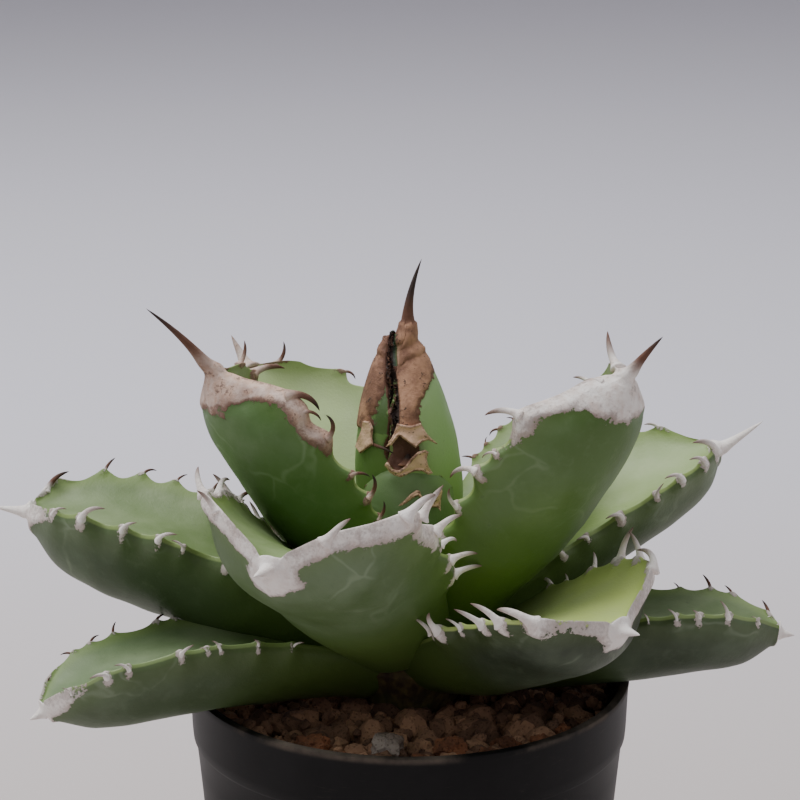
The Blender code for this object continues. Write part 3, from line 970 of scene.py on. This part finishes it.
# %% Flesh
def leaf_flesh(made, leaf, tip_and_painted_shade, cloud, grain):
    """Green skin colour: bloom and prints below, a trough above lighter partly as painted light."""
    share, above, rim = (made.attribute(name) for name in ("share", "above", "rim"))
    prints = made.cells(75.0, "DISTANCE_TO_EDGE", made.warped(0.012))
    prints = (1 - prints.rise(0.0, 0.05)) * cloud.rise(0.45, 0.62) * share.rise(0.45, 0.8)
    under = made.layered(
        srgb(*leaf.under),
        (toned(leaf.under, (150, 166, 146), 0.42), cloud.rise(0.35, 0.7) * share.rise(0.2, 0.95)),
        (toned(leaf.under, (170, 184, 160), 0.5), grain.rise(0.52, 0.85) * 0.3),
        (toned(leaf.under, (126, 158, 62), 0.5), rim.rise(0.0, 1.0) * 0.35),
        (toned(leaf.under, (176, 190, 168), 0.6), prints * 0.55),
    )
    # The upper colour is lighter than the underside's: partly the trough's own yellower green,
    # partly painted light.
    upper = made.layered(
        srgb(*leaf.upper),
        (toned(leaf.upper, (190, 200, 170), 0.45), cloud.rise(0.3, 0.75)),
        (UPPER_RIM, rim.rise(0.2, 1.0) * 0.35),
    )
    return made.layered(
        under,
        (upper, above.rise(0.35, 0.65)),
        (toned(leaf.under, BASE_GREEN, 0.6), (1 - share.rise(0.2, 0.6)) * 0.8),
        (SPECK, grain.rise(0.66, 0.74) * 0.25),
        # Painted shade: this green darkens the bud's gap and the strip beside it.
        (PAINTED_SHADE_GREEN, tip_and_painted_shade),
    )


print("the palest underside is", max(LEAVES, key=lambda leaf: sum(leaf.under)).name)


# %% Horn
def leaf_horn(made, leaf, tip_and_painted_shade, edge, grain, fine, streak):
    """Colour of the horn, from bone white on old leaves to tan and brown in the bud."""
    dry = max(leaf.brown * 1.4 - 0.4, 0.0)
    bare = tuple(mix(np.array(BONE), np.array(BONE_TAN), max(leaf.brown * 1.6 - 0.6, 0.0)))
    stain = tuple(mix(np.array(BONE_STAIN), np.array(HORN_BROWN), dry))
    blotch = made.noise(150.0, detail=5.0, roughness=0.6)
    return made.layered(
        bare,
        (stain, streak.rise(0.45, 0.7) * (0.28 + 0.5 * leaf.brown)),
        (BONE_TAN, grain.rise(0.42, 0.62) * leaf.brown * 0.7),
        (HORN_BROWN, blotch.rise(0.42, 0.62) * dry * 0.75),
        # Paler tan where above is 1, on the flaps and the bud's upper horn: partly their own
        # colour, partly painted light on the shaded lower flap.
        (FLAP_TAN_AND_PAINTED_LIGHT, made.attribute("above") * dry * 0.8),
        (HORN_DARK, (fine * grain).rise(0.31, 0.38) * leaf.brown * 0.8),
        (HORN_BROWN, (1 - edge.rise(0.25, 1.1)) * (0.35 + 0.55 * leaf.brown)),
        # In the bud's gap and hollow these two layers are painted shade; on spines, claws and the
        # dark tooth they are the horn's own dark points.
        (HORN_BROWN, tip_and_painted_shade.rise(0.08, 0.45)),
        (HORN_DARK, tip_and_painted_shade.rise(0.45, 0.9) * 0.9),
    )


print("the brownest horn:", [leaf.name for leaf in LEAVES if leaf.brown > 0.7])


# %% Finish of a leaf
def leaf_finish(leaf):
    made = Finish(leaf.name + "_skin")
    tip_and_painted_shade, horn = made.attribute("tip_and_painted_shade"), made.attribute("horn")
    cloud = made.noise(55.0, detail=4.0)
    grain = made.noise(420.0, detail=5.0, roughness=0.6)
    fine = made.noise(1500.0, detail=4.0, roughness=0.65)
    streak = made.noise(260.0, detail=4.0, vector=made.stretched((1.0, 1.0, 0.25)))
    edge = horn + (fine - 0.5) * 1.6 + (grain - 0.5) * 1.8
    mask = edge.rise(-0.1, 0.12)
    flesh = leaf_flesh(made, leaf, tip_and_painted_shade, cloud, grain)
    colour = made.blend(flesh, leaf_horn(made, leaf, tip_and_painted_shade, edge, grain, fine, streak), mask)
    roughness = 0.46 + 0.08 * cloud + mask * 0.26
    height = (streak * 1.4 + fine * 0.6 + grain) * mask + (1 - mask) * (fine * 0.22 + grain * 0.2)
    return made.surface(colour, roughness, height, strength=0.5, depth=0.0006)


for leaf in LEAVES:
    hand_over(leaves[leaf.name], leaf_finish(leaf), leaf.name)
print("finished", len(leaves), "leaves")


# %% [markdown]
# ## The pot
#
# A nursery pot is blown thin in black plastic, so it is turned from one profile: a straight cone
# with a slightly wider band at the top and a rounded lip. A circle is extruded upwards and scaled
# ring by ring along the outside, over the lip and down the inside, and the drain holes are bored
# by a boolean.

# %% A turned body
def turned(name, profile, sides):
    """A turned body: a disc extruded and scaled ring by ring along (radius, height) in mm."""
    deselect()
    first, height = profile[0]
    place = (0, 0, height * MM)
    bpy.ops.mesh.primitive_circle_add(
        vertices=sides, radius=first * MM, fill_type="NGON", location=place
    )
    obj = bpy.context.object
    obj.name = name
    obj.data.name = name
    settle(obj)
    with editing(obj):
        for (radius, height), (wider, higher) in zip(profile, profile[1:]):
            lift = (0, 0, (higher - height) * MM)
            bpy.ops.mesh.extrude_region_move(TRANSFORM_OT_translate={"value": lift})
            scale = (wider / radius, wider / radius, 1)
            bpy.ops.transform.resize(value=scale, center_override=(0, 0, higher * MM))
        face_outwards()
    return obj


print("turned bodies come from profiles of radius and height")

# %% Turn the pot
POT_PROFILE = [
    (36.8, 0.0), (37.6, 0.35), (38.05, 1.2), (41.0, 34.0), (43.3, 60.0), (43.82, 65.2),
    (44.06, 65.6), (44.4, 66.1), (44.55, 68.0), (44.85, 76.5), (45.0, 77.4), (44.9, 77.85),
    (44.55, 78.0), (43.7, 78.0), (43.25, 77.85), (43.05, 77.3), (42.2, 66.0), (41.6, 60.0),
    (39.4, 34.0), (36.9, 4.0), (36.3, 2.4), (35.0, 2.0),
]
DRAIN_HOLES = 6
DRAIN_CIRCLE = 25.0
DRAIN_RADIUS = 3.0

pot = turned("pot_turned", POT_PROFILE, 144)
for i in range(DRAIN_HOLES):
    azimuth = 2 * math.pi * (i / DRAIN_HOLES + 0.5 / 48)
    x, y = DRAIN_CIRCLE * math.cos(azimuth), DRAIN_CIRCLE * math.sin(azimuth)
    deselect()
    bpy.ops.mesh.primitive_cylinder_add(
        vertices=24, radius=DRAIN_RADIUS * MM, depth=6 * MM, location=(x * MM, y * MM, MM)
    )
    drill = bpy.context.object
    apply_modifier(pot, "BOOLEAN", operation="DIFFERENCE", solver="EXACT", object=drill)
    bpy.data.objects.remove(drill)
take(pot)
bpy.ops.object.shade_smooth_by_angle(angle=math.radians(35))
print("pot has", len(pot.data.polygons), "faces")

# %% [markdown]
# The plastic is near black and half matt, with a little dust in its scuffs. The lip has been
# rubbed grey.

# %% Black plastic
def pot_finish():
    made = Finish("pot_black_plastic")
    place = made.node("ShaderNodeSeparateXYZ", {}, {0: made.place()}, "Z")
    fine = made.noise(2600.0, detail=2.0)
    cloud = made.noise(60.0, detail=5.0, roughness=0.6)
    scuff = made.noise(300.0, detail=5.0, vector=made.stretched((1.0, 1.0, 6.0)))
    lip = place.rise(0.0764, 0.0776) * cloud.rise(0.36, 0.62)
    dust = scuff.rise(0.6, 0.85) * 0.08 + lip * 0.5
    black = made.blend(srgb(16, 16, 17), srgb(24, 24, 25), cloud.rise(0.3, 0.7))
    colour = made.blend(black, srgb(128, 116, 104), dust)
    roughness = 0.42 + 0.1 * cloud + lip * 0.4
    fixed = {"Specular_IOR_Level": 0.13}
    return made.surface(colour, roughness, fine + scuff * 0.5, strength=0.12, depth=0.0001, **fixed)


hand_over(pot, pot_finish(), "pot")
print("pot finished with", len(pot.data.materials[0].node_tree.nodes), "nodes")


# %% [markdown]
# ## The growing mix
#
# The pot is filled with fired clay grains and a little pumice. A bed fills it to just under the
# surface, and on it lie some hundreds of loose lumps. A lump is an icosphere that noise has
# broken into angles. A few kinds are modelled, then each is copied, turned and scaled many times.
# The larger grains that the frame names are made finer, one by one, where the frame puts them.

# %% Lumps
LUMP_KINDS = 7


def lump(name, seed, subdivisions, rough):
    """A broken lump about 1 mm across, to be scaled."""
    deselect()
    bpy.ops.mesh.primitive_ico_sphere_add(subdivisions=subdivisions, radius=0.5)
    obj = bpy.context.object
    obj.name = name
    obj.data.name = name
    for vert in obj.data.vertices:
        way = vert.co.normalized()
        angle = noise.voronoi(way * 1.1 + Vector((seed * 3.7, seed, 0)))[0][0]
        knob = noise.noise(way * 2.3 + Vector((seed, 0, seed * 2.1)))
        crumb = noise.noise(way * 6.5 + Vector((0, seed * 5.3, 0)))
        vert.co = way * (0.38 + 0.16 * angle + rough * (0.16 * knob + 0.07 * crumb))
    return obj


kinds = [lump("lump_kind", seed, 2, 1.0) for seed in range(LUMP_KINDS)]
print(LUMP_KINDS, "kinds of lump with", len(kinds[0].data.polygons), "faces each")


# %% Scatter the lumps
def scatter_lumps(name, count, sizes, heights, inner, outer, seed):
    """Copies of the kinds, laid in a ring between two radii, with one shade number each."""
    rng = random.Random(seed)
    copies = []
    for _ in range(count):
        radius = math.sqrt(rng.uniform(inner**2, outer**2))
        azimuth = rng.uniform(0, 2 * math.pi)
        size = rng.triangular(*sizes)
        copy = bpy.data.objects.new(name, rng.choice(kinds).data.copy())
        bpy.context.scene.collection.objects.link(copy)
        height = rng.uniform(*heights) + 0.15 * size
        place = (radius * math.cos(azimuth), radius * math.sin(azimuth), height)
        copy.location = Vector(place) * MM
        copy.rotation_euler = [rng.uniform(0, 2 * math.pi) for _ in range(3)]
        copy.scale = [size * MM * rng.uniform(0.8, 1.15) for _ in range(3)]
        shade = copy.data.attributes.new("shade", "FLOAT", "POINT")
        value = rng.random()
        shade.data.foreach_set("value", [value] * len(copy.data.vertices))
        copies.append(copy)
    joined = join_all(copies, name)
    settle(joined)
    return joined


coarse = scatter_lumps("loose_grains", 420, (3.5, 8.0, 5.0), (69.0, 71.3), 5.0, 39.6, 3)
small = scatter_lumps("crumbs", 520, (1.4, 3.4, 2.2), (71.0, 73.2), 8.0, 41.0, 5)
print("grains", len(coarse.data.polygons), "crumbs", len(small.data.polygons), "faces")


# %% Bed under the grains
BED_PROFILE = [
    (34.0, 2.5), (36.0, 4.0), (38.6, 34.0), (41.2, 66.0), (41.4, 69.0), (37.0, 70.2),
    (30.0, 70.4), (20.0, 70.5), (10.0, 70.8), (4.0, 71.0),
]
bed = turned("soil_bed", BED_PROFILE, 96)
mix_piece = join_all([bed, coarse, small], "growing_mix")
take(mix_piece)
bpy.ops.object.shade_smooth_by_angle(angle=math.radians(28))
for kind in kinds:
    bpy.data.objects.remove(kind)
print("growing mix has", len(mix_piece.data.polygons), "faces")


# %% Fired clay and pumice
def clay_finish(name, low, high, dark, by_lump):
    made = Finish(name)
    cloud = made.noise(170.0, detail=4.0)
    fine = made.noise(1700.0, detail=4.0, roughness=0.7)
    pits = made.cells(1300.0)
    tint = made.attribute("shade").rise(0.1, 0.9) if by_lump else cloud.rise(0.35, 0.65)
    colour = made.blend(low, high, tint * 0.7 + cloud.rise(0.3, 0.7) * 0.3)
    # Darker in the pits, which is painted shade, and in fine specks, which are the clay's own.
    colour = made.blend(colour, dark, (1 - pits.rise(0.05, 0.4)) * 0.5 + fine.rise(0.55, 0.8) * 0.3)
    height = fine + pits.rise(0.0, 0.5)
    return made.surface(colour, 0.86 + 0.1 * fine, height, strength=0.6, depth=0.0005)


CLAY_DARK = srgb(52, 34, 24)
PUMICE_DARK = srgb(80, 68, 58)
clay = clay_finish("fired_clay", srgb(88, 64, 50), srgb(184, 142, 110), CLAY_DARK, True)
clay_large = clay_finish("fired_clay_large", srgb(96, 62, 42), srgb(150, 98, 66), CLAY_DARK, False)
pumice = clay_finish("pumice_grey", srgb(118, 102, 90), srgb(164, 152, 142), PUMICE_DARK, False)
hand_over(mix_piece, clay, "soil")
print("three finishes for the grains")

# %% The large grains
large_grains = 0
for index, node in enumerate(sorted(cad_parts)):
    if not node.startswith(("clay_", "pumice_")):
        continue
    low, high = (Vector(corner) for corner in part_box(node))
    grain = lump(node + "_grain", index * 1.37, 4, 1.0)
    size = high - low
    grain.scale = [1.12 * length for length in size]
    grain.location = (low + high) / 2
    settle(grain)
    bpy.ops.object.shade_smooth_by_angle(angle=math.radians(40))
    if node.startswith("pumice"):
        hand_over(grain, pumice, node)
    else:
        hand_over(grain, clay_large, node)
    large_grains += 1
print(large_grains, "large grains")


# %% [markdown]
# ## The crown
#
# The short stem is hidden between the leaf bases. It keeps the frame's own shape and gets a dry,
# fibrous brown, since only slits of it show.

# %% Finish of the crown
def crown_finish():
    made = Finish("crown_fibre")
    strands = made.noise(600.0, detail=4.0, vector=made.stretched((1.0, 1.0, 0.12)))
    cloud = made.noise(90.0)
    colour = made.blend(srgb(58, 44, 30), srgb(104, 92, 52), strands.rise(0.35, 0.7))
    colour = made.blend(colour, srgb(62, 76, 36), cloud.rise(0.45, 0.7) * 0.6)
    return made.surface(colour, 0.8 + 0.1 * strands, strands, strength=0.5, depth=0.0006)


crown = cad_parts["crown"]
crown.data.materials.clear()
crown.data.materials.append(crown_finish())
print("crown keeps its", len(crown.data.polygons), "faces")


# %% [markdown]
# ## Room and light
#
# The plant stands on one pale sweep, a wide dish whose edge curves up all round, so that every
# view has the same plain ground. One large soft panel above gives the tops of the leaves their
# light and leaves the undersides in shade; two tall strips at the sides draw the soft lines on
# the pot.

# %% Sweep
deselect()
bpy.ops.mesh.primitive_circle_add(vertices=96, radius=2.6, fill_type="NGON")
sweep = bpy.context.object
sweep.name = "sweep"
bpy.ops.object.mode_set(mode="EDIT")
for lift, spread in ((0.03, 1.06), (0.1, 1.05), (0.2, 1.04), (0.4, 1.03), (1.2, 1.02)):
    bpy.ops.mesh.extrude_region_move(TRANSFORM_OT_translate={"value": (0, 0, lift)})
    bpy.ops.transform.resize(value=(spread, spread, 1))
bpy.ops.mesh.delete(type="ONLY_FACE")
bpy.ops.object.mode_set(mode="OBJECT")
bpy.ops.object.shade_smooth()


def sweep_finish():
    made = Finish("sweep_paper")
    # Painted light on the sweep: its colour is graded with depth, warmer and a little darker at the
    # front, palest in the middle and a touch darker far back.
    depth = made.node("ShaderNodeSeparateXYZ", {}, {0: made.place()}, "Y")
    near = made.blend(srgb(207, 198, 196), srgb(217, 215, 224), depth.rise(0.05, 0.5))
    colour = made.blend(near, srgb(212, 208, 216), depth.rise(0.5, 2.1))
    return made.surface(colour, 0.95)


sweep.data.materials.clear()
sweep.data.materials.append(sweep_finish())
print("sweep is", round(sweep.dimensions.x, 1), "m across")


# %% Lights
def panel(name, place, aim, size, power, colour=(1.0, 1.0, 1.0)):
    data = bpy.data.lights.new(name, "AREA")
    data.shape = "RECTANGLE"
    data.size, data.size_y = size
    data.energy = power
    data.color = colour
    light = bpy.data.objects.new(name, data)
    light.location = place
    light.rotation_euler = (Vector(aim) - Vector(place)).to_track_quat("-Z", "Y").to_euler()
    bpy.context.scene.collection.objects.link(light)
    return light


PLANT = (0.0, 0.0, 0.09)
panel("panel_above", (-0.35, 0.25, 1.25), PLANT, (1.1, 0.9), 18.5)
panel("strip_left", (-0.9, -0.35, 0.45), PLANT, (0.25, 0.9), 1.0)
panel("strip_right", (0.95, -0.15, 0.5), PLANT, (0.25, 0.9), 1.0)
world = bpy.data.worlds.new("studio_air")
world.use_nodes = True
world.node_tree.nodes["Background"].inputs["Color"].default_value = (0.86, 0.88, 0.93, 1.0)
world.node_tree.nodes["Background"].inputs["Strength"].default_value = 0.55
bpy.context.scene.world = world
print(len(bpy.data.lights), "lights")

# %% [markdown]
